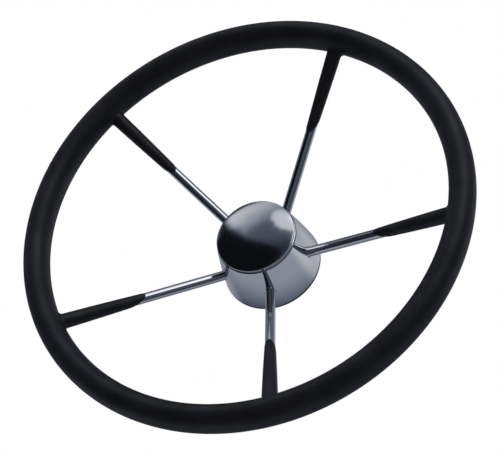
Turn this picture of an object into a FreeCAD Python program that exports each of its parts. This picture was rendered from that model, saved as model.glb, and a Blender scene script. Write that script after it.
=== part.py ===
"""Stainless boat steering wheel: five straight dished spokes, bell-shaped hub, foam grip, lift-off cap.

The frame has its origin at the mouth of the hub's tapered bore. +Y runs down the shaft, away from the
driver, +Z is up, and the rim stands forward of the hub, at negative Y. Lengths are in millimetres.
"""
import FreeCAD, Part
import math
import os
import Sketcher

V = FreeCAD.Vector

SIZES = [
    # rim, 15.5 inches over the grip
    ("rim_radius", 186.0, "wheel axis to the centre of the rim tube"),
    ("rim_forward", 88.0, "bore mouth to the plane of the rim"),
    ("rim_tube_dia", 16.0, "outside of the tube inside the grip"),
    ("rim_tube_wall", 1.5, "wall of that tube"),
    ("grip_radial", 22.0, "grip section across the rim, in the plane of the wheel"),
    ("grip_axial", 28.0, "grip section along the wheel axis"),
    # spokes and the foam sleeves on them
    ("spoke_count", 5, "spokes round the wheel"),
    ("spoke_dia", 8.6, "solid rod"),
    ("dish_angle", 24.6, "lean of each spoke from the plane of the wheel, in degrees"),
    ("socket_radius", 14.0, "wheel axis to the inner end of a spoke, in its socket"),
    ("socket_play", 0.05, "radial gap of a spoke in its holes"),
    ("sleeve_root_dia", 13.5, "foam sleeve at the centre of the rim"),
    ("sleeve_tip_wall", 0.2, "foam round the spoke at a sleeve's tip"),
    ("sleeve_bulge", 0.25, "how far a sleeve's side bows out of a straight taper"),
    ("sleeve_tip_radius", 108.0, "wheel axis to the tip of a sleeve"),
    ("sleeve_slant", 18.0, "how much longer a sleeve is on the driver's side"),
    ("sleeve_fillet", 3.0, "blend between a sleeve and the rim"),
    # hub shell, spun from sheet
    ("shell_back_dia", 89.0, "open back edge of the bell"),
    ("shell_behind", 1.7, "how far the bell's edge stands behind the bore mouth"),
    ("shell_front", 47.1, "bore mouth to the bell's flat front"),
    ("shell_front_dia", 71.0, "where the bell's side would meet its flat front"),
    ("shell_corner", 2.0, "rounding of that corner"),
    ("shell_wall", 1.5, "sheet thickness"),
    ("lip_step", 0.3, "the bell's front hole is larger than the hub's mouth by this, at the radius"),
    ("weld_leg", 1.0, "width and height of the weld bead round each spoke at the shell"),
    # turned hub core
    ("core_dia", 42.0, "barrel round the tapered bore"),
    ("head_wall", 2.5, "wall of the head that carries the bell's front"),
    ("core_head_length", 9.0, "length of that head"),
    ("bore_dia", 19.05, "large end of the tapered bore, three quarters of an inch"),
    ("bore_taper", 12.0, "length in which the bore narrows by one"),
    ("bore_length", 31.0, "tapered bore, mouth to washer seat"),
    ("keyway_width", 4.76, "three sixteenths of an inch"),
    ("keyway_depth", 2.4, "cut into the bore's wall"),
    ("recess_dia", 35.0, "room for the nut and a socket spanner"),
    ("mouth_dia", 43.0, "bore that takes the cap's plug"),
    ("mouth_depth", 7.5, "depth of that bore"),
    # shaft nut and washer
    ("washer_dia", 30.0, "outside"),
    ("washer_hole", 16.8, "hole"),
    ("washer_thick", 2.0, "thickness"),
    ("nut_flats", 23.8, "across the flats"),
    ("nut_thick", 9.5, "thickness"),
    ("nut_bore", 14.6, "crest of the thread, five eighths of an inch with 18 threads to the inch"),
    ("nut_chamfer", 1.2, "bevel on the corners"),
    # centre cap
    ("cap_dia", 70.0, "over its edge"),
    ("cap_gap", 0.4, "between the cap's back edge and the plane of the bell's front"),
    ("cap_skirt", 1.9, "height of the straight edge"),
    ("cap_rise", 6.0, "height of the dome above its edge"),
    ("cap_wall", 1.2, "sheet thickness"),
    ("cap_edge_round", 1.0, "rounding between dome and edge"),
    ("plug_play", 0.2, "radial gap of the plug in the hub's mouth"),
    ("plug_wall", 4.0, "ring wall of the plug"),
    ("plug_depth", 6.6, "how far the plug enters the hub"),
    ("plug_flange_dia", 58.0, "flange bonded inside the dome"),
    ("seat_gap", 0.2, "between the flange and the bell's front"),
    ("ring_section", 2.5, "sealing ring, thickness of the rubber"),
    ("ring_play", 0.05, "radial gap of the sealing ring"),
]

document = FreeCAD.newDocument("SteeringWheel")


def make_sheet():
    sheet = document.addObject("Spreadsheet::Sheet", "Dims")
    for row, (alias, size, note) in enumerate(SIZES, start=1):
        sheet.set(f"A{row}", note)
        sheet.set(f"B{row}", str(size))
        sheet.setAlias(f"B{row}", alias)
    document.recompute()
    return sheet


sheet = make_sheet()

# Places worked out from the sizes, written as expressions over the sheet
APEX = "(Dims.rim_forward - Dims.rim_radius * tan(Dims.dish_angle))"
RIM_Y = "-Dims.rim_forward"
SHELL_LEAN = "((Dims.shell_back_dia - Dims.shell_front_dia) / 2 / (Dims.shell_front + Dims.shell_behind))"
SHELL_ACROSS = f"(Dims.shell_wall * sqrt(1 + {SHELL_LEAN} ^ 2))"
CORE_FRONT = "(Dims.shell_front - Dims.shell_wall)"
SHELL_LIP_R = "(Dims.mouth_dia / 2 + Dims.lip_step)"
SPOKE_START = "(Dims.socket_radius / cos(Dims.dish_angle))"
SPOKE_END = "(Dims.rim_radius / cos(Dims.dish_angle))"
HOLE_R = "(Dims.spoke_dia / 2 + Dims.socket_play)"
SPOKE_AT_SHELL = (
    f"((Dims.shell_front_dia / 2 + {SHELL_LEAN} * (Dims.shell_front - {APEX}))"
    f" / (cos(Dims.dish_angle) + {SHELL_LEAN} * sin(Dims.dish_angle)))"
)
SLEEVE_TIP = "(Dims.sleeve_tip_radius / cos(Dims.dish_angle))"
SLEEVE_TIP_DIA = "(Dims.spoke_dia + 2 * Dims.sleeve_tip_wall)"
SLEEVE_RUN = f"({SPOKE_END} - {SLEEVE_TIP})"
SLEEVE_THIN = f"((Dims.sleeve_root_dia - {SLEEVE_TIP_DIA}) / 2)"
SLEEVE_ARC = f"(({SLEEVE_RUN} ^ 2 + {SLEEVE_THIN} ^ 2) / (8 * Dims.sleeve_bulge) + Dims.sleeve_bulge / 2)"
MOUTH_FLOOR = f"({CORE_FRONT} - Dims.mouth_depth)"
WASHER_FRONT = "(Dims.bore_length + Dims.washer_thick)"
CORE_HEAD_R = "(Dims.mouth_dia / 2 + Dims.head_wall)"
CAP_EDGE_FRONT = "(Dims.shell_front + Dims.cap_gap + Dims.cap_skirt)"
CAP_ARC = "(((Dims.cap_dia / 2) ^ 2 + Dims.cap_rise ^ 2) / (2 * Dims.cap_rise))"
CAP_ARC_IN = f"({CAP_ARC} - Dims.cap_wall)"
CAP_ARC_Y = f"({CAP_ARC} - {CAP_EDGE_FRONT} - Dims.cap_rise)"
SKIRT_IN = "(Dims.cap_dia / 2 - Dims.cap_wall)"
PLUG_OUT = "(Dims.mouth_dia / 2 - Dims.plug_play)"
PLUG_IN = f"({PLUG_OUT} - Dims.plug_wall)"
PLUG_BACK = f"({CORE_FRONT} - Dims.plug_depth)"
RING_R = "(Dims.mouth_dia / 2 - Dims.ring_play - Dims.ring_section / 2)"
RING_Y = f"-({CORE_FRONT} - Dims.plug_depth / 2)"


def under_dome(radius):
    """Where the inside of the cap's dome stands at a radius."""
    return f"({CAP_ARC_Y} - sqrt({CAP_ARC_IN} ^ 2 - ({radius}) ^ 2))"


def number(expression):
    return float(sheet.evalExpression(expression))


def new_body(label):
    body = document.addObject("PartDesign::Body", label)
    body.Label = label
    return body


def plane(body, role):
    return next(feature for feature in body.Origin.OriginFeatures if feature.Role == role)


def new_sketch(body, name, role):
    sketch = body.newObject("Sketcher::SketchObject", name)
    sketch.AttachmentSupport = [(plane(body, role), "")]
    sketch.MapMode = "FlatFace"
    return sketch


def hold_point(sketch, edge, end, corner):
    """Fixes one end of an edge at a corner given as two expressions."""
    across, up = corner
    for direction, axis, expression in (("DistanceX", -2, across), ("DistanceY", -1, up)):
        if expression == "0":
            sketch.addConstraint(Sketcher.Constraint("PointOnObject", edge, end, axis))
            continue
        constraint = Sketcher.Constraint(direction, -1, 1, edge, end, number(expression))
        index = sketch.addConstraint(constraint)
        sketch.setExpression(f"Constraints[{index}]", expression)


def arc_between(start, end, radius, centre_side):
    """An arc from start to end, with its centre on the left (side 1) or on the right (side -1)."""
    chord = end - start
    reach = math.sqrt(radius ** 2 - (chord.Length / 2) ** 2)
    left = V(-chord.y, chord.x, 0).normalize()
    centre = (start + end) / 2 + left * reach * centre_side
    angles = [math.atan2(point.y - centre.y, point.x - centre.x) for point in (start, end)]
    if centre_side < 0:
        angles.reverse()
    circle = Part.Circle(centre, V(0, 0, 1), radius)
    return Part.ArcOfCircle(circle, angles[0], angles[1])


def outline(sketch, corners, arcs=None):
    """Closed outline. arcs gives some edges a radius, as an expression, and the side of their centre."""
    arcs = arcs or {}
    points = [V(number(x), number(y), 0) for x, y in corners]
    count = len(points)
    ends = []
    for index in range(count):
        start, end = points[index], points[(index + 1) % count]
        if index in arcs:
            radius, side = arcs[index]
            edge = sketch.addGeometry(arc_between(start, end, number(radius), side))
            ends.append((edge, 1, 2) if side > 0 else (edge, 2, 1))
            radius_index = sketch.addConstraint(Sketcher.Constraint("Radius", edge, number(radius)))
            sketch.setExpression(f"Constraints[{radius_index}]", radius)
        else:
            edge = sketch.addGeometry(Part.LineSegment(start, end))
            ends.append((edge, 1, 2))
    for index, corner in enumerate(corners):
        edge, start, _ = ends[index]
        before, _, finish = ends[index - 1]
        sketch.addConstraint(Sketcher.Constraint("Coincident", before, finish, edge, start))
        hold_point(sketch, edge, start, corner)


def circle_at(sketch, corner, diameter):
    radius = f"{diameter} / 2"
    centre = V(number(corner[0]), number(corner[1]), 0)
    edge = sketch.addGeometry(Part.Circle(centre, V(0, 0, 1), number(radius)))
    hold_point(sketch, edge, 3, corner)
    index = sketch.addConstraint(Sketcher.Constraint("Radius", edge, number(radius)))
    sketch.setExpression(f"Constraints[{index}]", radius)


def axis_line(sketch, start, end):
    """A construction line, which a turned feature takes as its axis."""
    ends = [V(number(x), number(y), 0) for x, y in (start, end)]
    edge = sketch.addGeometry(Part.LineSegment(*ends), True)
    hold_point(sketch, edge, 1, start)
    hold_point(sketch, edge, 2, end)


def turned(body, name, sketch, cut=False, axis="V_Axis"):
    """A full turn of a sketch, added to the body or cut from it."""
    document.recompute()
    before = body.Shape.Volume if body.Tip else 0.0
    feature = body.newObject("PartDesign::Groove" if cut else "PartDesign::Revolution", name)
    feature.Profile = sketch
    feature.ReferenceAxis = (sketch, [axis])
    feature.Angle = 360.0
    sketch.Visibility = False
    document.recompute()
    change = body.Shape.Volume - before
    if (change < 0) != cut or abs(change) < 1e-3:
        raise RuntimeError(f"{body.Label}: {name} changed the volume by {change:.3f}")
    return feature


def round_the_wheel(body, name, originals):
    """Repeats features at every spoke."""
    pattern = body.newObject("PartDesign::PolarPattern", name)
    pattern.Originals = originals
    pattern.Axis = (plane(body, "Y_Axis"), [""])
    pattern.Angle = 360.0
    pattern.setExpression("Occurrences", "Dims.spoke_count")
    body.Tip = pattern
    document.recompute()
    return pattern


def along_spoke(along, out):
    """A point of the spoke that hangs straight down, in the side plane.

    along is the distance from where the spoke's line meets the wheel axis, and out is the distance
    from that line, towards the back of the wheel.
    """
    y = f"-{APEX} - ({along}) * sin(Dims.dish_angle) + ({out}) * cos(Dims.dish_angle)"
    z = f"-({along}) * cos(Dims.dish_angle) - ({out}) * sin(Dims.dish_angle)"
    return y, z


def spoke_profile(body, name, stations, arcs=None):
    """A sketch in the side plane, to be turned about the spoke: (distance along, radius) pairs."""
    sketch = new_sketch(body, name, "YZ_Plane")
    corners = [along_spoke(along, radius) for along, radius in stations]
    outline(sketch, corners, arcs)
    axis_line(sketch, along_spoke("1", "0"), along_spoke("2", "0"))
    return sketch


def make_rim_tube():
    body = new_body("rim_tube")
    sketch = new_sketch(body, "TubeSection", "XY_Plane")
    centre = ("Dims.rim_radius", RIM_Y)
    circle_at(sketch, centre, "Dims.rim_tube_dia")
    circle_at(sketch, centre, "(Dims.rim_tube_dia - 2 * Dims.rim_tube_wall)")
    turned(body, "BentTube", sketch)
    return body


def make_spoke(index):
    """A straight rod from its socket in the hub core to its coped end on the rim tube."""
    body = new_body(f"spoke_{index + 1}")
    radius = "Dims.spoke_dia / 2"
    stations = [(SPOKE_START, "0"), (SPOKE_START, radius), (SPOKE_END, radius), (SPOKE_END, "0")]
    rod = spoke_profile(body, "RodProfile", stations)
    turned(body, "Rod", rod, axis="Axis0")
    cope = new_sketch(body, "RimTube", "XY_Plane")
    circle_at(cope, ("Dims.rim_radius", RIM_Y), "Dims.rim_tube_dia")
    turned(body, "CopedEnd", cope, cut=True)
    turn = 360.0 / number("Dims.spoke_count") * index
    body.Placement = FreeCAD.Placement(V(0, 0, 0), FreeCAD.Rotation(V(0, 1, 0), turn))
    return body


def make_grip():
    """One foam moulding: the oval rim and a slanted sleeve on each spoke."""
    body = new_body("grip")
    section = new_sketch(body, "GripSection", "XY_Plane")
    centre = V(number("Dims.rim_radius"), number(RIM_Y), 0)
    axial, radial = number("Dims.grip_axial / 2"), number("Dims.grip_radial / 2")
    edge = section.addGeometry(Part.Ellipse(centre + V(0, axial, 0), centre + V(radial, 0, 0), centre))
    section.exposeInternalGeometry(edge)
    hold_point(section, edge, 3, ("Dims.rim_radius", RIM_Y))
    for line, size in ((edge + 1, "Dims.grip_axial"), (edge + 2, "Dims.grip_radial")):
        index = section.addConstraint(Sketcher.Constraint("Distance", line, number(size)))
        section.setExpression(f"Constraints[{index}]", size)
    section.addConstraint(Sketcher.Constraint("Vertical", edge + 1))
    turned(body, "Rim", section)
    stations = [(SLEEVE_TIP, "0"), (SLEEVE_TIP, f"{SLEEVE_TIP_DIA} / 2")]
    stations += [(SPOKE_END, "Dims.sleeve_root_dia / 2"), (SPOKE_END, "0")]
    profile = spoke_profile(body, "SleeveProfile", stations, {1: (SLEEVE_ARC, -1)})
    sleeve = turned(body, "Sleeve", profile, axis="Axis0")
    round_the_wheel(body, "Sleeves", [sleeve])
    blend_sleeves(body)
    slant = new_sketch(body, "SlantProfile", "YZ_Plane")
    early = f"({SLEEVE_TIP} - Dims.sleeve_slant)"
    late = f"({SLEEVE_TIP} + 2 * Dims.sleeve_slant)"
    high = f"(1.5 * {SLEEVE_TIP_DIA})"
    corners = [(early, f"-{high}"), (late, high), (early, high)]
    outline(slant, [along_spoke(along, out) for along, out in corners])
    cut = pocket(body, "SlantedTip", slant, "2 * Dims.sleeve_root_dia", symmetric=True)
    round_the_wheel(body, "SlantedTips", [cut])
    stations = [(SPOKE_START, "0"), (SPOKE_START, "Dims.spoke_dia / 2")]
    stations += [(SPOKE_END, "Dims.spoke_dia / 2"), (SPOKE_END, "0")]
    bore = turned(body, "SpokeBore", spoke_profile(body, "BoreProfile", stations), cut=True, axis="Axis0")
    round_the_wheel(body, "SpokeBores", [bore])
    core = new_sketch(body, "TubeSpace", "XY_Plane")
    circle_at(core, ("Dims.rim_radius", RIM_Y), "Dims.rim_tube_dia")
    turned(body, "TubeBore", core, cut=True)
    return body


def blend_sleeves(body):
    """Rounds the hollow corner where each sleeve leaves the rim."""
    reach = number("Dims.rim_radius - Dims.grip_radial / 2")
    close = number("Dims.sleeve_root_dia")
    names = []
    for index, edge in enumerate(body.Shape.Edges, start=1):
        middle = edge.BoundBox.Center
        radius = math.hypot(middle.x, middle.z)
        if abs(radius - reach) < close and edge.BoundBox.DiagonalLength < 3 * close:
            names.append(f"Edge{index}")
    fillet(body, "SleeveBlends", names, "Dims.sleeve_fillet")


def fillet(body, name, edges, radius):
    """Rounds named edges of the body's present shape."""
    if not edges:
        raise RuntimeError(f"{body.Label}: {name} found no edge")
    feature = body.newObject("PartDesign::Fillet", name)
    feature.Base = (feature.BaseFeature or body.Tip, edges)
    feature.setExpression("Radius", radius)
    document.recompute()
    return feature


def rings(body, places):
    """Names of the round edges at (radius, y) places, given as expressions."""
    names = []
    wanted = [(number(radius), number(y)) for radius, y in places]
    for index, edge in enumerate(body.Shape.Edges, start=1):
        if edge.Degenerated or not isinstance(edge.Curve, Part.Circle):
            continue
        centre = edge.Curve.Center
        for radius, y in wanted:
            if abs(edge.Curve.Radius - radius) < 1e-3 and abs(centre.y - y) < 1e-3:
                names.append(f"Edge{index}")
    return names


def pocket(body, name, sketch, length, symmetric=False, reverse=False):
    document.recompute()
    before = body.Shape.Volume
    feature = body.newObject("PartDesign::Pocket", name)
    feature.Profile = sketch
    feature.Midplane = symmetric
    feature.Reversed = reverse
    feature.setExpression("Length", length)
    sketch.Visibility = False
    document.recompute()
    if body.Shape.Volume > before - 1e-3:
        raise RuntimeError(f"{body.Label}: {name} cut nothing")
    return feature


def make_hub_shell():
    """The bell, a cone spun from sheet, with a hole and a weld bead for each spoke."""
    body = new_body("hub_shell")
    back, front = "Dims.shell_back_dia / 2", "Dims.shell_front_dia / 2"
    corners = [
        (back, "Dims.shell_behind"),
        (front, "-Dims.shell_front"),
        (SHELL_LIP_R, "-Dims.shell_front"),
        (SHELL_LIP_R, f"-{CORE_FRONT}"),
        (f"{front} + {SHELL_LEAN} * Dims.shell_wall - {SHELL_ACROSS}", f"-{CORE_FRONT}"),
        (f"{back} - {SHELL_ACROSS}", "Dims.shell_behind"),
    ]
    profile = new_sketch(body, "BellProfile", "XY_Plane")
    outline(profile, corners)
    turned(body, "Bell", profile)
    fillet(body, "FrontCorner", rings(body, corners[1:2]), "Dims.shell_corner")
    fillet(body, "InnerCorner", rings(body, corners[4:5]), "Dims.shell_corner - Dims.shell_wall")
    fillet(body, "BackEdge", rings(body, [corners[0], corners[5]]), "Dims.shell_wall / 3")
    bead = f"({HOLE_R} + Dims.weld_leg)"
    low, high = f"({SPOKE_AT_SHELL} - Dims.shell_wall)", f"({SPOKE_AT_SHELL} + 4 * Dims.weld_leg)"
    boss = spoke_profile(body, "BeadProfile", [(low, "0"), (low, bead), (high, bead), (high, "0")])
    round_the_wheel(body, "Beads", [turned(body, "Bead", boss, axis="Axis0")])
    trim = new_sketch(body, "BeadHeight", "XY_Plane")
    near, far = "Dims.weld_leg", "(8 * Dims.weld_leg)"
    outline(trim, [
        (f"{front} + {near}", "-Dims.shell_front"),
        (f"{back} + {near}", "Dims.shell_behind"),
        (f"{back} + {far}", "Dims.shell_behind"),
        (f"{front} + {far}", "-Dims.shell_front"),
    ])
    turned(body, "BeadTops", trim, cut=True)
    round_beads(body)
    near = "Dims.core_dia / 2 / cos(Dims.dish_angle)"
    far = "Dims.shell_back_dia / cos(Dims.dish_angle)"
    hole = spoke_profile(body, "HoleProfile", [(near, "0"), (near, HOLE_R), (far, HOLE_R), (far, "0")])
    round_the_wheel(body, "SpokeHoles", [turned(body, "SpokeHole", hole, cut=True, axis="Axis0")])
    return body


def round_beads(body):
    """Rounds the outer edge of every weld bead."""
    lean, leg = number(SHELL_LEAN), number("Dims.weld_leg")
    front_r, front = number("Dims.shell_front_dia / 2"), number("Dims.shell_front")
    names = []
    for index, edge in enumerate(body.Shape.Edges, start=1):
        point = edge.valueAt((edge.FirstParameter + edge.LastParameter) / 2)
        height = math.hypot(point.x, point.z) - (front_r + lean * (point.y + front))
        if abs(height - leg) < 1e-3:
            names.append(f"Edge{index}")
    fillet(body, "BeadRounding", names, "0.8 * Dims.weld_leg")


def make_hub_core():
    """The turned core: tapered bore with keyway, nut recess, cap mouth and a socket for each spoke."""
    body = new_body("hub_core")
    head_back = f"({CORE_FRONT} - Dims.core_head_length)"
    step = f"({CORE_HEAD_R} - Dims.core_dia / 2)"
    corners = [
        ("Dims.bore_dia / 2", "0"),
        ("Dims.core_dia / 2", "0"),
        ("Dims.core_dia / 2", f"-({head_back} - {step})"),
        (CORE_HEAD_R, f"-{head_back}"),
        (CORE_HEAD_R, f"-{CORE_FRONT}"),
        ("Dims.mouth_dia / 2", f"-{CORE_FRONT}"),
        ("Dims.mouth_dia / 2", f"-{MOUTH_FLOOR}"),
        ("Dims.recess_dia / 2", f"-{MOUTH_FLOOR}"),
        ("Dims.recess_dia / 2", "-Dims.bore_length"),
        ("(Dims.bore_dia - Dims.bore_length / Dims.bore_taper) / 2", "-Dims.bore_length"),
    ]
    profile = new_sketch(body, "CoreProfile", "XY_Plane")
    outline(profile, corners)
    turned(body, "Core", profile)
    near, far = SPOKE_START, "Dims.core_dia / cos(Dims.dish_angle)"
    stations = [(near, "0"), (near, HOLE_R), (far, HOLE_R), (far, "0")]
    socket = spoke_profile(body, "SocketProfile", stations)
    cut = turned(body, "Socket", socket, cut=True, axis="Axis0")
    round_the_wheel(body, "Sockets", [cut])
    slot = new_sketch(body, "KeywayProfile", "XZ_Plane")
    half, top = "Dims.keyway_width / 2", "(Dims.bore_dia / 2 + Dims.keyway_depth)"
    outline(slot, [(f"-{half}", "0"), (half, "0"), (half, top), (f"-{half}", top)])
    pocket(body, "Keyway", slot, "Dims.bore_length", reverse=True)
    return body


def make_washer():
    body = new_body("shaft_washer")
    inside, outside = "Dims.washer_hole / 2", "Dims.washer_dia / 2"
    profile = new_sketch(body, "WasherProfile", "XY_Plane")
    back, front = "-Dims.bore_length", f"-{WASHER_FRONT}"
    outline(profile, [(inside, back), (outside, back), (outside, front), (inside, front)])
    turned(body, "Washer", profile)
    return body


def make_nut():
    body = new_body("shaft_nut")
    profile = new_sketch(body, "HexProfile", "XZ_Plane")
    profile.setExpression("AttachmentOffset.Base.z", WASHER_FRONT)
    corner = "Dims.nut_flats / 2 / cos(30)"
    turns = range(30, 390, 60)
    outline(profile, [(f"{corner} * cos({turn})", f"{corner} * sin({turn})") for turn in turns])
    circle_at(profile, ("0", "0"), "Dims.nut_bore")
    document.recompute()
    pad = body.newObject("PartDesign::Pad", "Hex")
    pad.Profile = profile
    pad.setExpression("Length", "Dims.nut_thick")
    document.recompute()
    front = f"({WASHER_FRONT} + Dims.nut_thick)"
    beyond = f"{corner} + Dims.nut_chamfer"
    for side, face, inward in (("Front", front, "-"), ("Back", WASHER_FRONT, "+")):
        bevel = new_sketch(body, f"{side}BevelProfile", "XY_Plane")
        corners = [("Dims.nut_flats / 2", f"-{face}"), (beyond, f"-{face}")]
        corners.append((beyond, f"-({face} {inward} Dims.nut_chamfer)"))
        outline(bevel, corners)
        turned(body, f"{side}Bevel", bevel, cut=True)
    return body


def make_cap_dome():
    """The pressed cap: a shallow dome with a short straight edge."""
    body = new_body("cap_dome")
    edge = "Dims.cap_dia / 2"
    skirt_back = "-(Dims.shell_front + Dims.cap_gap)"
    top = f"({CAP_EDGE_FRONT} + Dims.cap_rise)"
    corners = [
        ("0", f"-{top}"),
        (edge, f"-{CAP_EDGE_FRONT}"),
        (edge, skirt_back),
        (SKIRT_IN, skirt_back),
        (SKIRT_IN, under_dome(SKIRT_IN)),
        ("0", f"-({top} - Dims.cap_wall)"),
    ]
    profile = new_sketch(body, "DomeProfile", "XY_Plane")
    outline(profile, corners, {0: (CAP_ARC, 1), 4: (CAP_ARC_IN, -1)})
    turned(body, "Dome", profile)
    fillet(body, "EdgeRound", rings(body, corners[1:2]), "Dims.cap_edge_round")
    return body


def make_cap_plug():
    """The moulded ring bonded inside the dome, which enters the hub's mouth."""
    body = new_body("cap_plug")
    flange = "Dims.plug_flange_dia / 2"
    seat = "-(Dims.shell_front + Dims.seat_gap)"
    corners = [
        (PLUG_IN, under_dome(PLUG_IN)),
        (flange, under_dome(flange)),
        (flange, seat),
        (PLUG_OUT, seat),
        (PLUG_OUT, f"-{PLUG_BACK}"),
        (PLUG_IN, f"-{PLUG_BACK}"),
    ]
    profile = new_sketch(body, "PlugProfile", "XY_Plane")
    outline(profile, corners, {0: (CAP_ARC_IN, 1)})
    turned(body, "Plug", profile)
    groove = new_sketch(body, "RingGroove", "XY_Plane")
    floor = f"({RING_R} - Dims.ring_section / 2 - Dims.ring_play)"
    half = "(0.6 * Dims.ring_section)"
    low, high = f"{RING_Y} - {half}", f"{RING_Y} + {half}"
    outline(groove, [(floor, low), ("Dims.mouth_dia", low), ("Dims.mouth_dia", high), (floor, high)])
    turned(body, "GrooveForRing", groove, cut=True)
    return body


def make_cap_ring():
    body = new_body("cap_o_ring")
    section = new_sketch(body, "RingSection", "XY_Plane")
    circle_at(section, (RING_R, RING_Y), "Dims.ring_section")
    turned(body, "Ring", section)
    return body


def write_parts(bodies):
    document.recompute()
    for feature in document.Objects:
        if "Invalid" in feature.State or "Error" in feature.State:
            raise RuntimeError(f"{feature.Label} failed: {feature.State}")
    os.makedirs("parts", exist_ok=True)
    for body in bodies:
        if body.Shape.isNull() or not body.Shape.isValid():
            raise RuntimeError(f"{body.Label} has no valid shape")
        print(body.Label, len(body.Shape.Solids), round(body.Shape.Volume))
    for body in bodies:
        body.Shape.exportStep(f"parts/{body.Label}.step")


made = [make_rim_tube(), make_grip()]
made += [make_spoke(index) for index in range(int(number("Dims.spoke_count")))]
made += [make_hub_shell(), make_hub_core(), make_washer(), make_nut()]
made += [make_cap_dome(), make_cap_plug(), make_cap_ring()]
write_parts(made)
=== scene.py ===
"""Boat steering wheel: polished spokes dished back to a bell-shaped hub, foam grip, lift-off domed cap.

Metres throughout. The origin is the mouth of the hub's tapered bore, +Y runs down the shaft away from the
driver, +Z is up, and the first spoke hangs straight down.
"""
import math

import bmesh
import bpy
from bpy.props import FloatProperty, FloatVectorProperty, PointerProperty
from mathutils import Matrix, Quaternion, Vector


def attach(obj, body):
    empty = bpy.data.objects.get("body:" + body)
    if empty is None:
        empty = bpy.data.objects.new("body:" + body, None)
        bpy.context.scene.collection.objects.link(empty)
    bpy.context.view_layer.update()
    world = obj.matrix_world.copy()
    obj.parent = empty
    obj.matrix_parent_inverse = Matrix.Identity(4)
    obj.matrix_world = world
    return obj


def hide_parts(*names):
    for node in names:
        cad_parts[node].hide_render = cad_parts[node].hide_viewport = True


bl_info = {
    "name": "Boat Steering Wheel",
    "version": (1, 0, 0),
    "blender": (4, 5, 0),
    "location": "View3D > Sidebar > Steering Wheel",
    "description": "Builds a dished boat steering wheel: foam grip, polished spokes, domed hub cap",
    "category": "Add Mesh",
}

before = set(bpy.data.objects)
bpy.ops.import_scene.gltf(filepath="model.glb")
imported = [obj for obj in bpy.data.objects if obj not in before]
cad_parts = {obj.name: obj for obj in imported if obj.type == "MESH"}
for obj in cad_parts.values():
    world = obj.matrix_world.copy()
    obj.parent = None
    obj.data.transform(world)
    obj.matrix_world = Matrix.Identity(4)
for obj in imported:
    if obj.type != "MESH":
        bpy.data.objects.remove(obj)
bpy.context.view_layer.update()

SPOKES = sorted(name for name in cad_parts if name.startswith("spoke_"))
TURN = math.tau / len(SPOKES)

# how finely the round forms are divided
RIM_STEPS = 400
GRIP_STEPS = 64
ROD_STEPS = 72
TURNED_STEPS = 192
BELL_STATIONS = 24
FILLET_STEPS = 8
SLEEVE_END_STEPS = 6
DOME_STEPS = 40
DOME_INSIDE_STEPS = 30

# how often the way to a surface is halved, and a sleeve's slanted end is worked out anew
HALVINGS = 48
END_ROUNDS = 4

# shares of the way along a sleeve, from the rim to its tip, and along a rod, from the hub outwards
SLEEVE_STATIONS = (1.0, 0.85, 0.7, 0.55, 0.4, 0.3, 0.2, 0.12, 0.06, 0.0)
ROD_STATIONS = (0.02, 0.25, 0.5, 0.75, 0.98, 1.0)

# metres: how near points become one, how near an edge is found, how deep a root and a bead stand in
SAME_POINT = 1e-6
EDGE_FOUND = 2e-5
SLEEVE_SUNK = 2e-5
WELD_SUNK = 1e-5


# sizes and finishes

def length(name, description, default):
    return FloatProperty(
        name=name, description=description, default=default, min=0.0, unit="LENGTH", precision=5
    )


def degrees(name, description, default):
    return FloatProperty(
        name=name, description=description, default=math.radians(default), subtype="ANGLE"
    )


def colour(name, description, default):
    return FloatVectorProperty(
        name=name, description=description, default=default, size=3, subtype="COLOR", min=0.0, max=1.0
    )


class RimSizes(bpy.types.PropertyGroup):
    radius: length("Rim Radius", "Wheel axis to the centre of the rim's section", 0.186)
    forward: length("Rim Forward", "Bore mouth to the plane of the rim", 0.088)
    grip_radial: length("Grip Across", "Foam section in the plane of the wheel", 0.022)
    grip_axial: length("Grip Depth", "Foam section along the wheel axis", 0.028)
    sleeve_root: length("Sleeve Root", "Foam sleeve's diameter at the centre of the rim", 0.0135)
    sleeve_tip: length("Sleeve Tip", "Foam sleeve's diameter at its inner end", 0.0090)
    tip_radius: length("Tip Radius", "Wheel axis to the inner end of a sleeve", 0.108)
    bulge: length("Bulge", "How far a sleeve's side bows out of a straight taper", 0.00025)
    slant: length("Slant", "How much longer a sleeve is on the driver's side", 0.018)
    blend: length("Blend", "Rounding between a sleeve and the rim", 0.003)
    end_wall: length("End Wall", "How far past a sleeve's end the wall for its rounding is read", 0.0008)


class SpokeSizes(bpy.types.PropertyGroup):
    diameter: length("Rod Diameter", "Solid rod", 0.0086)
    lean: degrees("Dish Angle", "Lean of a spoke from the plane of the wheel", 24.6)
    socket_radius: length("Socket Radius", "Wheel axis to the spoke's inner end", 0.014)
    short: length("Short of Rim", "The spoke's outer end to the centre of the rim's section", 0.009)
    weld: length("Weld Leg", "Weld bead round each spoke at the bell", 0.001)


class HubSizes(bpy.types.PropertyGroup):
    back_dia: length("Back Diameter", "Open back edge of the bell", 0.089)
    behind: length("Behind", "The bell's edge behind the bore mouth", 0.0017)
    front: length("Front", "Bore mouth to the bell's flat front", 0.0471)
    front_dia: length("Front Diameter", "Where the bell's side meets its front", 0.071)
    corner: length("Corner", "Rounding of the front corner, measured from its edge", 0.0017)
    inner_corner: length("Inner Corner", "The same inside the bell", 0.00045)
    edge_break: length("Edge Break", "Rounding of the sheet's cut edges", 0.0003)
    # painted shade: a dark band along the bell's back edge, and the width over which it runs out
    dull_band: length("Dull Band", "Dark band along the trimmed back edge", 0.0015)
    dull_fade: length("Dull Fade", "Over which the dark band runs out", 0.0011)
    bow: length("Bow", "How far the bell's side bows out of a straight flare", 0.0006)
    wall: length("Wall", "Thickness of the spun sheet", 0.0015)
    lip_radius: length("Lip Radius", "Hole in the bell's front", 0.0218)


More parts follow.
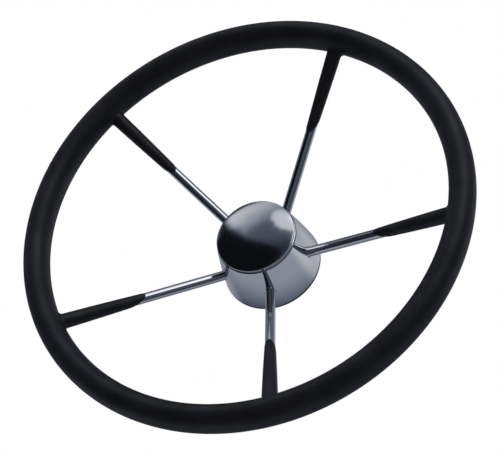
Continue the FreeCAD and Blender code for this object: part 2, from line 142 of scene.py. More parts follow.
class CapSizes(bpy.types.PropertyGroup):
    diameter: length("Cap Diameter", "Over the straight edge", 0.070)
    gap: length("Gap", "The cap's back edge off the plane of the bell's front", 0.0004)
    skirt: length("Skirt", "Height of the straight edge", 0.0019)
    rise: length("Rise", "Height of the dome over its edge", 0.006)
    wall: length("Wall", "Thickness of the pressed sheet", 0.0012)
    edge_round: length("Edge Round", "Rounding between dome and edge, measured from the edge", 0.0007)
    edge_break: length("Edge Break", "Rounding of the back edge", 0.0003)


class Finishes(bpy.types.PropertyGroup):
    steel: colour("Polished Steel", "Mirror-polished stainless", (0.80, 0.80, 0.82))
    turned_steel: colour("Turned Steel", "Machined stainless", (0.56, 0.56, 0.57))
    foam: colour("Foam", "Skin of the grip", (0.0022, 0.0024, 0.0046))
    foam_worn: colour("Handled Foam", "Where hands have rubbed the skin", (0.0042, 0.0045, 0.0082))
    plastic: colour("Plug Plastic", "Moulded ring behind the cap", (0.02, 0.02, 0.021))
    rubber: colour("Ring Rubber", "Sealing ring", (0.012, 0.012, 0.012))
    floor: colour("Floor", "Studio floor", (0.80, 0.80, 0.80))


class StudioSettings(bpy.types.PropertyGroup):
    azimuth: degrees("Azimuth", "Camera round the wheel", 13.145)
    elevation: degrees("Elevation", "Camera above the hub", -34.032)
    roll: degrees("Roll", "Camera tilted to its right", 8.337)
    distance: length("Distance", "Camera to its target", 1.20746)
    target: FloatVectorProperty(
        name="Target", description="Point that the camera looks at", default=(-0.00223, -0.05442, 0.00562),
        size=3, subtype="XYZ", unit="LENGTH",
    )
    lens: FloatProperty(
        name="Lens", description="Focal length on a 36 mm sensor", default=101.44, subtype="DISTANCE_CAMERA"
    )
    floor_drop: length("Floor Drop", "Floor below the hub", 1.15)
    floor_reach: length("Floor Reach", "Middle of the floor to its sides", 60.0)
    room_radius: length("Room Radius", "Round room that only reflections see", 4.0)
    world_light: FloatProperty(
        name="World Light", description="Strength of the white surroundings as a light",
        default=0.90, min=0.0,
    )
    lamp_size: length("Lamp Size", "Side of the lamp above the wheel", 1.6)
    lamp_power: FloatProperty(
        name="Lamp Power", description="Power of the lamp above the wheel",
        default=60.0, min=0.0, unit="POWER",
    )


# making meshes

def finished(name, mesh, body, material, replaced, sharp_over=180):
    """A mesh becomes a piece that rides on a body and stands for its solids.

    Edges that turn by more than sharp_over degrees stay sharp.
    """
    data = bpy.data.meshes.new(name)
    mesh.to_mesh(data)
    mesh.free()
    data.materials.append(material)
    piece = bpy.data.objects.new(name, data)
    bpy.context.scene.collection.objects.link(piece)
    data.shade_smooth()
    if sharp_over < 180:
        data.set_sharp_from_angle(angle=math.radians(sharp_over))
    weighted = piece.modifiers.new("EvenShading", "WEIGHTED_NORMAL")
    weighted.keep_sharp = True
    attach(piece, body)
    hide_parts(*replaced)


def dressed(name, material):
    """A solid that is shown as it is gets its finish."""
    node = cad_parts[name]
    node.data.materials.clear()
    node.data.materials.append(material)


def draw(mesh, start, moves):
    """A line in the XY plane.

    ("to", x, y) goes straight, ("round", x, y, angle, steps) turns about x, y.
    """
    tip = mesh.verts.new((start[0], start[1], 0.0))
    for kind, x, y, *turn in moves:
        if kind == "to":
            made = bmesh.ops.extrude_vert_indiv(mesh, verts=[tip])
            tip = made["verts"][0]
            tip.co = (x, y, 0.0)
        else:
            angle, steps = turn
            made = bmesh.ops.spin(
                mesh, geom=[tip], cent=(x, y, 0.0), axis=(0.0, 0.0, 1.0), dvec=(0.0, 0.0, 0.0),
                angle=angle, steps=steps, use_merge=False, use_normal_flip=False, use_duplicate=False,
            )
            tip = next(part for part in made["geom_last"] if isinstance(part, bmesh.types.BMVert))


def turn_full(mesh, steps):
    """Spins what is in the mesh round the wheel axis and closes it."""
    bmesh.ops.spin(
        mesh, geom=[*mesh.verts, *mesh.edges], cent=(0.0, 0.0, 0.0), axis=(0.0, 1.0, 0.0),
        dvec=(0.0, 0.0, 0.0), angle=math.tau, steps=steps, use_merge=True, use_normal_flip=False,
        use_duplicate=False,
    )
    bmesh.ops.remove_doubles(mesh, verts=mesh.verts, dist=SAME_POINT)
    bmesh.ops.recalc_face_normals(mesh, faces=mesh.faces)


def round_ring(mesh, radius, y, size, segments):
    """Rounds the edge that runs round the wheel axis at a radius and a place along it."""
    ring = []
    for edge in mesh.edges:
        places = [(math.hypot(vert.co.x, vert.co.z), vert.co.y) for vert in edge.verts]
        if all(abs(r - radius) < EDGE_FOUND and abs(at - y) < EDGE_FOUND for r, at in places):
            ring.append(edge)
    if not ring:
        raise RuntimeError(f"no edge runs at radius {radius:.4f}, y {y:.4f}")
    bmesh.ops.bevel(
        mesh, geom=ring, offset=size, offset_type="OFFSET", segments=segments, profile=0.5,
        affect="EDGES", material=-1, clamp_overlap=True,
    )


def circle(mesh, shape, segments):
    """A ring round the spoke's line; shape gives radius and distance along it for an angle."""
    made = bmesh.ops.create_circle(mesh, cap_ends=False, segments=segments, radius=1.0)
    place_ring(made["verts"], shape)
    return list({edge for vert in made["verts"] for edge in vert.link_edges})


def place_ring(verts, shape):
    """Puts each point of a ring where the shape says, keeping its angle."""
    for vert in verts:
        angle = math.atan2(vert.co.y, vert.co.x)
        radius, along = shape(angle)
        vert.co = (radius * math.cos(angle), radius * math.sin(angle), along)


def pull(mesh, edges, shape):
    """Extrudes a ring to its next station along the spoke."""
    made = bmesh.ops.extrude_edge_only(mesh, edges=edges)["geom"]
    place_ring([part for part in made if isinstance(part, bmesh.types.BMVert)], shape)
    return [part for part in made if isinstance(part, bmesh.types.BMEdge)]


def spoke_frame(index):
    """Turns the spoke's own frame, X across, Y to the back, Z outwards, into the wheel's."""
    lean = bpy.context.scene.wheel_spokes.lean
    out = Vector((0.0, -math.sin(lean), -math.cos(lean)))
    back = Vector((0.0, math.cos(lean), -math.sin(lean)))
    across = back.cross(out)
    turned = Matrix((across, back, out)).transposed().to_4x4()
    turned.translation = (0.0, apex(), 0.0)
    return Matrix.Rotation(index * TURN, 4, "Y") @ turned


def apex():
    """Where the spokes' lines meet the wheel axis."""
    scene = bpy.context.scene
    return scene.wheel_rim.radius * math.tan(scene.wheel_spokes.lean) - scene.wheel_rim.forward


def along_spoke(radius):
    """Distance along a spoke's line at a radius from the wheel axis."""
    return radius / math.cos(bpy.context.scene.wheel_spokes.lean)


def bowed(share):
    """One in the middle and nought at both ends."""
    return 4 * share * (1 - share)


def meets(surface, low, high):
    """The line parallel to the spoke at x, y meets a surface: how far along it is."""
    frame_of_spoke = spoke_frame(0)

    def found(x, y):
        near, far = low, high
        for _ in range(HALVINGS):
            middle = (near + far) / 2
            if surface(frame_of_spoke @ Vector((x, y, middle))) > 0:
                near = middle
            else:
                far = middle
        return (near + far) / 2

    return found


def outside_grip(point):
    """Above zero where a point lies outside the oval rim."""
    rim = bpy.context.scene.wheel_rim
    across = (math.hypot(point.x, point.z) - rim.radius) / (rim.grip_radial / 2)
    deep = (point.y + rim.forward) / (rim.grip_axial / 2)
    return across ** 2 + deep ** 2 - 1


def bell_lean():
    """How much the bell's side widens for each length towards the back."""
    hub = bpy.context.scene.wheel_hub
    return (hub.back_dia - hub.front_dia) / 2 / (hub.front + hub.behind)


def bell_radius(y):
    """Outside of the bell at a place along the wheel axis."""
    hub = bpy.context.scene.wheel_hub
    share = (y + hub.front) / (hub.front + hub.behind)
    return hub.front_dia / 2 + bell_lean() * (y + hub.front) + hub.bow * bowed(share)


def inside_bell(point):
    """Above zero where a point lies inside the bell's side."""
    return bell_radius(point.y) - math.hypot(point.x, point.z)


# materials

def sockets(group, inputs, outputs):
    """Gives a node group its ways in and out."""
    for name, kind, default in inputs:
        socket = group.interface.new_socket(name=name, in_out="INPUT", socket_type=kind)
        socket.default_value = default
    for name, kind in outputs:
        group.interface.new_socket(name=name, in_out="OUTPUT", socket_type=kind)
    return group.nodes.new("NodeGroupInput"), group.nodes.new("NodeGroupOutput")


def grain_group():
    """Fine grain over slower cloudy patches, both from the piece's own coordinates."""
    name = "SurfaceGrain"
    if name in bpy.data.node_groups:
        return bpy.data.node_groups[name]
    group = bpy.data.node_groups.new(name, "ShaderNodeTree")
    inside, outside = sockets(
        group,
        [("Grain Scale", "NodeSocketFloat", 900.0), ("Patch Scale", "NodeSocketFloat", 40.0),
         ("Stretch", "NodeSocketVector", (1.0, 1.0, 1.0))],
        [("Grain", "NodeSocketFloat"), ("Patches", "NodeSocketFloat")],
    )
    nodes, links = group.nodes, group.links
    where = nodes.new("ShaderNodeTexCoord")
    stretched = nodes.new("ShaderNodeVectorMath")
    stretched.operation = "MULTIPLY"
    links.new(where.outputs["Object"], stretched.inputs[0])
    links.new(inside.outputs["Stretch"], stretched.inputs[1])
    for scale, detail, output in (("Grain Scale", 3.0, "Grain"), ("Patch Scale", 4.0, "Patches")):
        noise = nodes.new("ShaderNodeTexNoise")
        noise.inputs["Detail"].default_value = detail
        links.new(stretched.outputs["Vector"], noise.inputs["Vector"])
        links.new(inside.outputs[scale], noise.inputs["Scale"])
        links.new(noise.outputs["Fac"], outside.inputs[output])
    return group


def made_once(maker):
    """A material is made at its first use and found by its maker's name after that."""
    def find():
        name = maker.__name__
        return bpy.data.materials.get(name) or maker(name)

    return find


def new_material(name, base, metallic, roughness):
    """A material with its nodes, links and shader at hand."""
    material = bpy.data.materials.new(name)
    material.use_nodes = True
    shader = material.node_tree.nodes["Principled BSDF"]
    shader.inputs["Metallic"].default_value = metallic
    shader.inputs["Roughness"].default_value = roughness
    shader.inputs["Base Color"].default_value = (*base, 1.0)
    return material, material.node_tree.nodes, material.node_tree.links, shader


def grain_in(nodes, grain_scale, patch_scale, stretch=(1.0, 1.0, 1.0)):
    """Puts the shared grain into a material; the scales are in noises per metre."""
    grain = nodes.new("ShaderNodeGroup")
    grain.node_tree = grain_group()
    grain.inputs["Grain Scale"].default_value = grain_scale
    grain.inputs["Patch Scale"].default_value = patch_scale
    grain.inputs["Stretch"].default_value = stretch
    return grain


def ranged(nodes, links, source, socket, low, high, start=0.3, end=0.7):
    """Maps a mask from start..end to low..high and feeds a socket."""
    spread = nodes.new("ShaderNodeMapRange")
    spread.inputs["From Min"].default_value = start
    spread.inputs["From Max"].default_value = end
    spread.inputs["To Min"].default_value = low
    spread.inputs["To Max"].default_value = high
    links.new(source, spread.inputs["Value"])
    links.new(spread.outputs["Result"], socket)


def bumped(nodes, links, height, shader, distance, strength, before=None):
    """Raises the surface by a height map, on top of the bump before it."""
    bump = nodes.new("ShaderNodeBump")
    bump.inputs["Distance"].default_value = distance
    bump.inputs["Strength"].default_value = strength
    links.new(height, bump.inputs["Height"])
    if before:
        links.new(before.outputs["Normal"], bump.inputs["Normal"])
    links.new(bump.outputs["Normal"], shader.inputs["Normal"])
    return bump


def two_colours(nodes, links, mask, first, second, shader, start=0.35, end=0.65):
    """Runs from the first colour to the second as the mask goes from start to end."""
    ramp = nodes.new("ShaderNodeValToRGB")
    for stop, position, tone in zip(ramp.color_ramp.elements, (start, end), (first, second)):
        stop.position = position
        stop.color = (*tone, 1.0)
    links.new(mask, ramp.inputs["Fac"])
    links.new(ramp.outputs["Color"], shader.inputs["Base Color"])


def shaded(base, factor):
    """A colour made lighter or darker."""
    return tuple(min(1.0, part * factor) for part in base)


@made_once
def polished_steel(name):
    """Mirror polish, with a faint haze and slight waves in patches."""
    base = bpy.context.scene.wheel_finishes.steel
    material, nodes, links, shader = new_material(name, base, metallic=1.0, roughness=0.03)
    patches = grain_in(nodes, grain_scale=700.0, patch_scale=30.0).outputs["Patches"]
    two_colours(nodes, links, patches, shaded(base, 0.94), shaded(base, 1.03), shader)
    ranged(nodes, links, patches, shader.inputs["Roughness"], low=0.015, high=0.06)
    bumped(nodes, links, patches, shader, distance=0.00004, strength=0.3)
    return material


@made_once
def spun_steel(name):
    """The bell's polish, with painted shade darkening its back edge, which is also rougher."""
    base = bpy.context.scene.wheel_finishes.steel
    hub = bpy.context.scene.wheel_hub
    material, nodes, links, shader = new_material(name, base, metallic=1.0, roughness=0.03)
    patches = grain_in(nodes, grain_scale=700.0, patch_scale=30.0).outputs["Patches"]
    # painted shade: along the back edge the colour runs to near black, standing in for the dark line the
    # edge shows; the patches add a slight random darkening
    band_front = hub.behind - hub.dull_band
    where = nodes.new("ShaderNodeTexCoord")
    place = nodes.new("ShaderNodeSeparateXYZ")
    links.new(where.outputs["Object"], place.inputs["Vector"])
    edge = nodes.new("ShaderNodeMath")
    edge.operation = "ADD"
    ranged(nodes, links, patches, edge.inputs[0], low=0.0, high=0.10)
    ranged(
        nodes, links, place.outputs["Y"], edge.inputs[1], low=0.0, high=1.0,
        start=band_front - hub.dull_fade, end=band_front,
    )
    patches_and_painted_shade = edge.outputs["Value"]
    two_colours(nodes, links, patches_and_painted_shade, base, shaded(base, 0.06), shader, start=0.0, end=1.0)
    ranged(nodes, links, patches_and_painted_shade, shader.inputs["Roughness"], low=0.02, high=0.30, start=0.0, end=1.0)
    bumped(nodes, links, patches, shader, distance=0.00004, strength=0.3)
    return material


@made_once
def turned_steel(name):
    """Machined stainless: fine rings round the axis."""
    base = bpy.context.scene.wheel_finishes.turned_steel
    material, nodes, links, shader = new_material(name, base, metallic=1.0, roughness=0.32)
    rings = grain_in(nodes, grain_scale=60.0, patch_scale=22.0, stretch=(1.0, 45.0, 1.0)).outputs["Grain"]
    two_colours(nodes, links, rings, shaded(base, 0.86), shaded(base, 1.12), shader)
    ranged(nodes, links, rings, shader.inputs["Roughness"], low=0.24, high=0.42)
    bumped(nodes, links, rings, shader, distance=0.00005, strength=0.6)
    return material


@made_once
def foam_skin(name):
    """Skinned foam: pebbled fine grain, and patches where hands have rubbed it smoother."""
    finishes = bpy.context.scene.wheel_finishes
    material, nodes, links, shader = new_material(name, finishes.foam, metallic=0.0, roughness=0.5)
    grain = grain_in(nodes, grain_scale=1100.0, patch_scale=55.0)
    two_colours(nodes, links, grain.outputs["Patches"], finishes.foam, finishes.foam_worn, shader)
    ranged(nodes, links, grain.outputs["Patches"], shader.inputs["Roughness"], low=0.56, high=0.46)
    slow = bumped(nodes, links, grain.outputs["Patches"], shader, distance=0.0006, strength=0.35)
    bumped(nodes, links, grain.outputs["Grain"], shader, distance=0.00035, strength=0.55, before=slow)
    return material


@made_once
def plug_plastic(name):
    """Moulded plastic, slightly matt."""
    base = bpy.context.scene.wheel_finishes.plastic
    material, nodes, links, shader = new_material(name, base, metallic=0.0, roughness=0.45)
    grain = grain_in(nodes, grain_scale=1600.0, patch_scale=60.0)
    two_colours(nodes, links, grain.outputs["Patches"], shaded(base, 0.8), shaded(base, 1.3), shader)
    ranged(nodes, links, grain.outputs["Grain"], shader.inputs["Roughness"], low=0.38, high=0.55)
    bumped(nodes, links, grain.outputs["Grain"], shader, distance=0.0001, strength=0.4)
    return material


@made_once
def ring_rubber(name):
    """Dull rubber with a bloom in patches."""
    base = bpy.context.scene.wheel_finishes.rubber
    material, nodes, links, shader = new_material(name, base, metallic=0.0, roughness=0.55)
    grain = grain_in(nodes, grain_scale=1400.0, patch_scale=80.0)
    two_colours(nodes, links, grain.outputs["Patches"], shaded(base, 0.8), shaded(base, 1.5), shader)
    ranged(nodes, links, grain.outputs["Patches"], shader.inputs["Roughness"], low=0.5, high=0.65)
    bumped(nodes, links, grain.outputs["Grain"], shader, distance=0.00005, strength=0.3)
    return material


def plain_stage(name, base):
    """An even matt finish for the studio."""
    material, *_, shader = new_material(name, base, metallic=0.0, roughness=0.9)
    shader.inputs["Specular IOR Level"].default_value = 0.1
    return material


class Sums:
    """Short ways to write sums with shader nodes."""

    def __init__(self, tree):
        self.nodes, self.links = tree.nodes, tree.links

    def put(self, source, socket):
        if isinstance(source, bpy.types.NodeSocket):
            self.links.new(source, socket)
        else:
            socket.default_value = source

    def math(self, operation, *terms):
        node = self.nodes.new("ShaderNodeMath")
        node.operation = operation
        for term, socket in zip(terms, node.inputs):
            self.put(term, socket)
        return node.outputs["Value"]

    def vector(self, operation, *terms, output="Vector"):
        node = self.nodes.new("ShaderNodeVectorMath")
        node.operation = operation
        for term, socket in zip(terms, node.inputs):
            self.put(term, socket)
        return node.outputs[output]

    def step(self, source, start, end, low=0.0, high=1.0):
        """Runs smoothly from low to high as the source goes from start to end."""
        node = self.nodes.new("ShaderNodeMapRange")
        node.interpolation_type = "SMOOTHSTEP"
        for name, term in (
            ("Value", source), ("From Min", start), ("From Max", end), ("To Min", low), ("To Max", high),
        ):
            self.put(term, node.inputs[name])
        return node.outputs["Result"]

    def facing(self, way, azimuth, elevation, wide, narrow):
        """Mask round one direction, in degrees from the driver's side and up.

        It is full within narrow and runs out at wide, in degrees too.
        """
        around, up = math.radians(azimuth), math.radians(elevation)
        centre = (math.sin(around) * math.cos(up), -math.cos(around) * math.cos(up), math.sin(up))
        along = self.vector("DOT_PRODUCT", way, centre, output="Value")
        return self.step(along, math.cos(math.radians(wide)), math.cos(math.radians(narrow)))

    def parts(self, source):
        node = self.nodes.new("ShaderNodeSeparateXYZ")
        self.put(source, node.inputs["Vector"])
        return tuple(node.outputs[axis] for axis in "XYZ")

    def mix(self, mask, under, over):
        node = self.nodes.new("ShaderNodeMix")
        for name, term in (("Factor", mask), ("A", under), ("B", over)):
            self.put(term, next(socket for socket in node.inputs if socket.name == name and socket.enabled))
        return node.outputs["Result"]


# azimuth, elevation, where each one ends, where it is full, and its brightness
SOFT_WINDOWS = (
    (-83, 40, 23, 17, 0.24),
    (17.5, 45.5, 9, 5, 0.58),
    (25, 38.5, 12.5, 8.5, 0.63),
    (39, 42, 11, 7, 1.35),
    (44, 18, 21, 13, 1.15),
    (58, 30, 21, 12, 1.10),
    (-155, 66, 24, 14, 0.05),
)


def reflected_room():
    """Brightness of the room by direction, as x to the right, y away from the driver and z up.

    It is dark to the driver's side, with grey ground, a band of sky and soft windows.
    """
    material = bpy.data.materials.new("reflected_room")
    material.use_nodes = True
    tree = material.node_tree
    tree.nodes.remove(tree.nodes["Principled BSDF"])
    sums = Sums(tree)
    where = tree.nodes.new("ShaderNodeTexCoord")
    straight = sums.vector("NORMALIZE", where.outputs["Object"])
    clouds = tree.nodes.new("ShaderNodeTexNoise")
    clouds.inputs["Scale"].default_value = 6.0
    clouds.inputs["Detail"].default_value = 5.0
    tree.links.new(straight, clouds.inputs["Vector"])
    ripple = 0.16
    drift = sums.vector("MULTIPLY_ADD", clouds.outputs["Color"], [ripple] * 3, straight)
    way = sums.vector("NORMALIZE", sums.vector("SUBTRACT", drift, [ripple / 2] * 3))
    x, y, z = sums.parts(straight)

    # ground: pale strips far behind the wheel, a lit flank on the right, nearly black towards the driver
    back = sums.math("MULTIPLY_ADD", z, -0.08, y)
    far_strip = sums.step(back, 0.59, 0.83, low=0.35, high=-0.07)
    last_strip = sums.step(back, 0.74, 0.80, low=0.0, high=0.27)
    flank = sums.math("MULTIPLY", sums.step(x, 0.46, 0.78, low=0.0, high=0.27), sums.step(z, -0.42, 0.07))
    far_ground = sums.math("ADD", sums.math("ADD", far_strip, last_strip), flank)
    near_ground = sums.step(x, -0.54, 0.16, low=0.02, high=0.085)
    is_far = sums.step(sums.math("MULTIPLY_ADD", x, -0.14, y), 0.15, 0.35)
    ground = sums.mix(is_far, near_ground, far_ground)

    # walls over the ground, with the dark shape of the driver
    far_wall = sums.step(x, 0.07, 0.64, low=0.33, high=0.56)
    wall = sums.mix(sums.step(y, 0.42, 0.73), 0.155, far_wall)
    light = sums.mix(sums.step(z, -0.12, 0.38), ground, wall)
    light = sums.mix(sums.facing(way, -22, 22, wide=46, narrow=34), light, 0.005)

    # a band of sky over a slanting skyline, and the pale ceiling overhead
    x, y, z = sums.parts(way)
    skyline = sums.math("MULTIPLY_ADD", x, 0.59, sums.math("MULTIPLY_ADD", y, -0.45, z))
    above = sums.math("MULTIPLY", sums.step(skyline, 0.64, 0.77), sums.step(y, -0.13, -0.21))
    sky = sums.step(sums.math("MULTIPLY_ADD", x, -0.43, z), 0.58, 1.09, low=0.10, high=0.65)
    sky = sums.math("MULTIPLY", sky, sums.step(z, 0.1, 0.5, low=0.2, high=1.0))
    light = sums.mix(above, light, sky)
    overhead = sums.math("MULTIPLY", sums.step(z, 0.845, 1.04), sums.step(y, -0.53, -0.39))
    overhead = sums.math("MULTIPLY", overhead, sums.step(y, 0.22, 0.08))
    light = sums.mix(overhead, light, sums.step(x, -0.3, 0.3, low=0.28, high=0.36))

    for azimuth, elevation, wide, narrow, brightness in SOFT_WINDOWS:
        light = sums.mix(sums.facing(way, azimuth, elevation, wide, narrow), light, brightness)
    glow = tree.nodes.new("ShaderNodeEmission")
    tint = tree.nodes.new("ShaderNodeValToRGB")
    # dim parts of the room are bluer than bright ones
    dark_end, bright_end = tint.color_ramp.elements
    dark_end.color = (0.76, 0.90, 1.22, 1.0)
    bright_end.color = (0.96, 0.99, 1.05, 1.0)
    tree.links.new(sums.step(light, 0.02, 0.60), tint.inputs["Fac"])
    tree.links.new(tint.outputs["Color"], glow.inputs["Color"])
    tree.links.new(light, glow.inputs["Strength"])
    tree.links.new(glow.outputs["Emission"], tree.nodes["Material Output"].inputs["Surface"])
    return material


# pieces

class WHEEL_OT_grip(bpy.types.Operator):
    """Make the foam grip: an oval rim with a slanted sleeve on every spoke"""

    bl_idname = "wheel.grip"
    bl_label = "Foam Grip"

    def execute(self, context):
        rim = context.scene.wheel_rim
        mesh = bmesh.new()
        section = Matrix.Translation((rim.radius, -rim.forward, 0.0)) @ Matrix.Diagonal(
            (rim.grip_radial / 2, rim.grip_axial / 2, 1.0, 1.0)
        )
        bmesh.ops.create_circle(mesh, cap_ends=False, segments=GRIP_STEPS, radius=1.0, matrix=section)
        turn_full(mesh, RIM_STEPS)
        for index in range(len(SPOKES)):
            self.add_sleeve(mesh, rim, index)
        bmesh.ops.recalc_face_normals(mesh, faces=mesh.faces)
        finished("grip_foam", mesh, "wheel", foam_skin(), ["grip"])
        return {"FINISHED"}

    def add_sleeve(self, mesh, rim, index):
        rod = bpy.context.scene.wheel_spokes.diameter / 2
        thin, root = rim.sleeve_tip / 2, rim.sleeve_root / 2
        tip, centre = along_spoke(rim.tip_radius), along_spoke(rim.radius)
        rim_end = along_spoke(rim.radius - rim.grip_radial / 2)
        # the plain part of the sleeve stops well clear of the blend
        body_end = rim_end - 1.5 * rim.blend
        foot = meets(outside_grip, tip, centre)

        def thickness(along):
            share = (along - tip) / (centre - tip)
            return thin + (root - thin) * share + rim.bulge * bowed(share)

        def end_of(angle):
            across = thin
            for _ in range(END_ROUNDS):
                end = tip + rim.slant / 2 + rim.slant * across * math.sin(angle) / rim.sleeve_tip
                across = thickness(end)
            return end

        def blend(turn):
            def shape(angle):
                inwards = rim.blend * (1 - math.cos(turn))
                radius = thickness(rim_end - inwards) + rim.blend * (1 - math.sin(turn))
                along = foot(radius * math.cos(angle), radius * math.sin(angle))
                return radius, along - inwards + SLEEVE_SUNK
            return shape

        def body_at(share):
            def shape(angle):
                end = end_of(angle)
                edge = end + thickness(end) - rod
                along = edge + (body_end - edge) * share
                return thickness(along), along
            return shape

        def rounded_end(turn):
            def shape(angle):
                end = end_of(angle)
                wall = thickness(end + rim.end_wall) - rod
                return rod + wall * math.cos(turn), end + wall * (1 - math.sin(turn))
            return shape

        before = set(mesh.verts)
        ring = circle(mesh, blend(0.0), GRIP_STEPS)
        for step in range(1, FILLET_STEPS + 1):
            ring = pull(mesh, ring, blend(step * math.pi / 2 / FILLET_STEPS))
        for share in SLEEVE_STATIONS:
            ring = pull(mesh, ring, body_at(share))
        for step in range(1, SLEEVE_END_STEPS + 1):
            ring = pull(mesh, ring, rounded_end(step * math.pi / 2 / SLEEVE_END_STEPS))
        made = [vert for vert in mesh.verts if vert not in before]
        bmesh.ops.transform(mesh, matrix=spoke_frame(index), verts=made)


class WHEEL_OT_spokes(bpy.types.Operator):
    """Make the polished rods from the hub core to the rim"""

    bl_idname = "wheel.spokes"
    bl_label = "Spokes"

    def execute(self, context):
        spokes = context.scene.wheel_spokes
        rod = spokes.diameter / 2
        start = along_spoke(spokes.socket_radius)
        end = along_spoke(context.scene.wheel_rim.radius) - spokes.short
        for index, name in enumerate(SPOKES):
            mesh = bmesh.new()
            ring = circle(mesh, lambda angle: (rod, start), ROD_STEPS)
            bmesh.ops.edgenet_fill(mesh, edges=ring)
            for share in ROD_STATIONS:
                ring = pull(mesh, ring, lambda angle: (rod, start + (end - start) * share))
            bmesh.ops.edgenet_fill(mesh, edges=ring)
            bmesh.ops.recalc_face_normals(mesh, faces=mesh.faces)
            bmesh.ops.transform(mesh, matrix=spoke_frame(index), verts=mesh.verts)
            finished(
                f"rod_{index + 1}", mesh, "wheel", polished_steel(), [name], sharp_over=40
            )
        return {"FINISHED"}


class WHEEL_OT_bell(bpy.types.Operator):
    """Make the spun bell with a weld fillet round every spoke"""

    bl_idname = "wheel.bell"
    bl_label = "Hub Bell"

    def execute(self, context):
        hub = context.scene.wheel_hub
        lean = bell_lean()
        across = hub.wall * math.hypot(1.0, lean)
        back_r, front_r = hub.back_dia / 2, hub.front_dia / 2
        front_in = front_r + lean * hub.wall - across
        deep = hub.front + hub.behind
        stations = [hub.behind - deep * step / BELL_STATIONS for step in range(1, BELL_STATIONS + 1)]
        mesh = bmesh.new()
        draw(mesh, (back_r, hub.behind), [
            *(("to", bell_radius(y), y) for y in stations),
            ("to", hub.lip_radius, -hub.front),
            ("to", hub.lip_radius, hub.wall - hub.front),
            ("to", front_in, hub.wall - hub.front),
            ("to", back_r - across, hub.behind),
            ("to", back_r, hub.behind),
        ])
        bmesh.ops.remove_doubles(mesh, verts=mesh.verts, dist=SAME_POINT)
        turn_full(mesh, TURNED_STEPS)
        round_ring(mesh, front_r, -hub.front, hub.corner, segments=8)
        round_ring(mesh, front_in, hub.wall - hub.front, hub.inner_corner, segments=4)
        round_ring(mesh, hub.lip_radius, -hub.front, hub.edge_break, segments=3)
        for edge_r in (back_r, back_r - across):
            round_ring(mesh, edge_r, hub.behind, hub.edge_break, segments=4)
        for index in range(len(SPOKES)):
            self.add_weld(mesh, index)
        bmesh.ops.recalc_face_normals(mesh, faces=mesh.faces)
        finished("bell_spun", mesh, "wheel", spun_steel(), ["hub_shell"], sharp_over=50)
        return {"FINISHED"}

    def add_weld(self, mesh, index):
        spokes, rim = bpy.context.scene.wheel_spokes, bpy.context.scene.wheel_rim
        rod, leg = spokes.diameter / 2, spokes.weld
        foot = meets(inside_bell, along_spoke(spokes.socket_radius), along_spoke(rim.radius))

        def fillet(turn):
            def shape(angle):
                radius = rod + leg * (1 - math.sin(turn))
                along = foot(radius * math.cos(angle), radius * math.sin(angle))
                return radius, along + leg * (1 - math.cos(turn)) - WELD_SUNK
            return shape

        before = set(mesh.verts)
        ring = circle(mesh, fillet(0.0), ROD_STEPS)
        for step in range(1, FILLET_STEPS + 1):
            ring = pull(mesh, ring, fillet(step * math.pi / 2 / FILLET_STEPS))
        made = [vert for vert in mesh.verts if vert not in before]
        bmesh.ops.transform(mesh, matrix=spoke_frame(index), verts=made)


class WHEEL_OT_core(bpy.types.Operator):
    """Finish the turned core, washer, nut and rim tube"""

    bl_idname = "wheel.core"
    bl_label = "Core and Fixings"

    def execute(self, context):
        for name in ("hub_core", "shaft_washer", "shaft_nut", "rim_tube"):
            dressed(name, turned_steel())
        return {"FINISHED"}


class WHEEL_OT_cap(bpy.types.Operator):
    """Make the lift-off cap: polished dome, plug and sealing ring"""

    bl_idname = "wheel.cap"
    bl_label = "Centre Cap"

    def execute(self, context):
        cap = context.scene.wheel_cap
        edge = cap.diameter / 2
        back = -(context.scene.wheel_hub.front + cap.gap)
        edge_front = back - cap.skirt
        arc = (edge ** 2 + cap.rise ** 2) / (2 * cap.rise)
        centre_y = arc + edge_front - cap.rise
        swing = math.asin(edge / arc)
        inner = arc - cap.wall
        inner_swing = math.asin((edge - cap.wall) / inner)
        mesh = bmesh.new()
        draw(mesh, (0.0, edge_front - cap.rise), [
            ("round", 0.0, centre_y, swing, DOME_STEPS),
            ("to", edge, back),
            ("to", edge - cap.wall, back),
            ("to", edge - cap.wall, centre_y - inner * math.cos(inner_swing)),
            ("round", 0.0, centre_y, -inner_swing, DOME_INSIDE_STEPS),
        ])
        turn_full(mesh, TURNED_STEPS)
        round_ring(mesh, edge, edge_front, cap.edge_round, segments=8)
        round_ring(mesh, edge, back, cap.edge_break, segments=3)
        finished(
            "cap_polished", mesh, "cap", polished_steel(), ["cap_dome"], sharp_over=50
        )
        dressed("cap_plug", plug_plastic())
        dressed("cap_o_ring", ring_rubber())
        return {"FINISHED"}


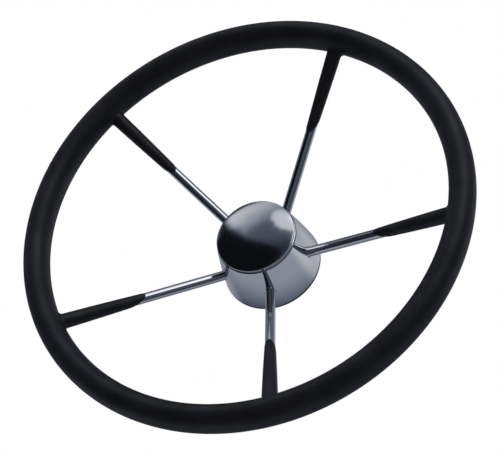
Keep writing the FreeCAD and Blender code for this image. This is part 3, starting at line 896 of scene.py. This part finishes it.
class WHEEL_OT_stage(bpy.types.Operator):
    """Set the floor, lamp, reflections and camera"""

    bl_idname = "wheel.stage"
    bl_label = "Studio"

    def execute(self, context):
        studio = context.scene.wheel_studio
        self.make_floor(context, studio)
        self.make_surround(studio)
        self.light_world(context, studio)
        self.add_lamp("lamp_top", studio, place=(-0.55, -1.3, 1.9), target=(0.0, -0.05, 0.0))
        self.place_camera(context, studio)
        context.scene.view_settings.view_transform = "Standard"
        return {"FINISHED"}

    def make_floor(self, context, studio):
        mesh = bmesh.new()
        bmesh.ops.create_grid(
            mesh, x_segments=1, y_segments=1, size=studio.floor_reach,
            matrix=Matrix.Translation((0.0, 0.0, -studio.floor_drop)),
        )
        material = plain_stage("studio_floor", context.scene.wheel_finishes.floor)
        floor = self.stage_piece("floor", mesh, material)
        floor.visible_glossy = False

    def make_surround(self, studio):
        """The room that only reflections see, so that the steel has ground, sky and windows to show."""
        mesh = bmesh.new()
        bmesh.ops.create_icosphere(mesh, subdivisions=5, radius=studio.room_radius)
        room = self.stage_piece("surround", mesh, reflected_room())
        room.data.shade_smooth()
        room.visible_camera = False
        room.visible_diffuse = False
        room.visible_shadow = False
        room.visible_transmission = False
        room.visible_volume_scatter = False

    def stage_piece(self, name, mesh, material):
        data = bpy.data.meshes.new(name)
        mesh.to_mesh(data)
        mesh.free()
        data.materials.append(material)
        piece = bpy.data.objects.new(name, data)
        bpy.context.scene.collection.objects.link(piece)
        return piece

    def light_world(self, context, studio):
        """White where it is seen, a little softer as a light."""
        world = bpy.data.worlds.new("studio")
        context.scene.world = world
        world.use_nodes = True
        nodes, links = world.node_tree.nodes, world.node_tree.links
        path = nodes.new("ShaderNodeLightPath").outputs
        sums = Sums(world.node_tree)
        seen = sums.math("MAXIMUM", path["Is Camera Ray"], path["Is Glossy Ray"])
        seen = sums.math("MAXIMUM", seen, path["Is Transmission Ray"])
        background = nodes["Background"].inputs
        background["Color"].default_value = (1.0, 1.0, 1.0, 1.0)
        strength = background["Strength"]
        ranged(nodes, links, seen, strength, low=studio.world_light, high=1.0, start=0.0, end=1.0)

    def add_lamp(self, name, studio, place, target):
        data = bpy.data.lights.new(name, "AREA")
        data.size = studio.lamp_size
        data.energy = studio.lamp_power
        lamp = bpy.data.objects.new(name, data)
        bpy.context.scene.collection.objects.link(lamp)
        lamp.location = place
        lamp.rotation_mode = "QUATERNION"
        lamp.rotation_quaternion = (Vector(target) - Vector(place)).to_track_quat("-Z", "Y")
        lamp.visible_camera = False
        lamp.visible_glossy = False

    def place_camera(self, context, studio):
        level = math.cos(studio.elevation)
        back = Vector((
            math.sin(studio.azimuth) * level, -math.cos(studio.azimuth) * level, math.sin(studio.elevation)
        ))
        data = bpy.data.cameras.new("camera")
        data.sensor_width = 36.0
        data.lens = studio.lens
        data.clip_start, data.clip_end = 0.01, 50.0
        camera = bpy.data.objects.new("camera", data)
        context.scene.collection.objects.link(camera)
        camera.rotation_mode = "QUATERNION"
        camera.location = Vector(studio.target) + back * studio.distance
        level_view = (-back).to_track_quat("-Z", "Y")
        camera.rotation_quaternion = level_view @ Quaternion((0.0, 0.0, 1.0), -studio.roll)
        context.scene.camera = camera


class WHEEL_PT_sidebar(bpy.types.Panel):
    """Sizes, finishes and makers of the steering wheel"""

    bl_label = "Steering Wheel"
    bl_idname = "WHEEL_PT_sidebar"
    bl_space_type = "VIEW_3D"
    bl_region_type = "UI"
    bl_category = "Steering Wheel"

    def draw(self, context):
        layout = self.layout
        for holder in HOLDERS:
            box = layout.box()
            for name in getattr(context.scene, holder).bl_rna.properties.keys():
                if name not in ("rna_type", "name"):
                    box.prop(getattr(context.scene, holder), name)
        for operator in OPERATORS:
            layout.operator(operator.bl_idname)


HOLDERS = {
    "wheel_rim": RimSizes,
    "wheel_spokes": SpokeSizes,
    "wheel_hub": HubSizes,
    "wheel_cap": CapSizes,
    "wheel_finishes": Finishes,
    "wheel_studio": StudioSettings,
}
OPERATORS = (WHEEL_OT_grip, WHEEL_OT_spokes, WHEEL_OT_bell, WHEEL_OT_core, WHEEL_OT_cap, WHEEL_OT_stage)


def register():
    for group in (*HOLDERS.values(), *OPERATORS, WHEEL_PT_sidebar):
        bpy.utils.register_class(group)
    for holder, group in HOLDERS.items():
        setattr(bpy.types.Scene, holder, PointerProperty(type=group))


def unregister():
    for holder in HOLDERS:
        delattr(bpy.types.Scene, holder)
    for group in (WHEEL_PT_sidebar, *reversed(OPERATORS), *reversed(HOLDERS.values())):
        bpy.utils.unregister_class(group)


def main():
    register()
    bpy.ops.wheel.grip()
    bpy.ops.wheel.spokes()
    bpy.ops.wheel.bell()
    bpy.ops.wheel.core()
    bpy.ops.wheel.cap()
    bpy.ops.wheel.stage()


if __name__ == "__main__":
    main()
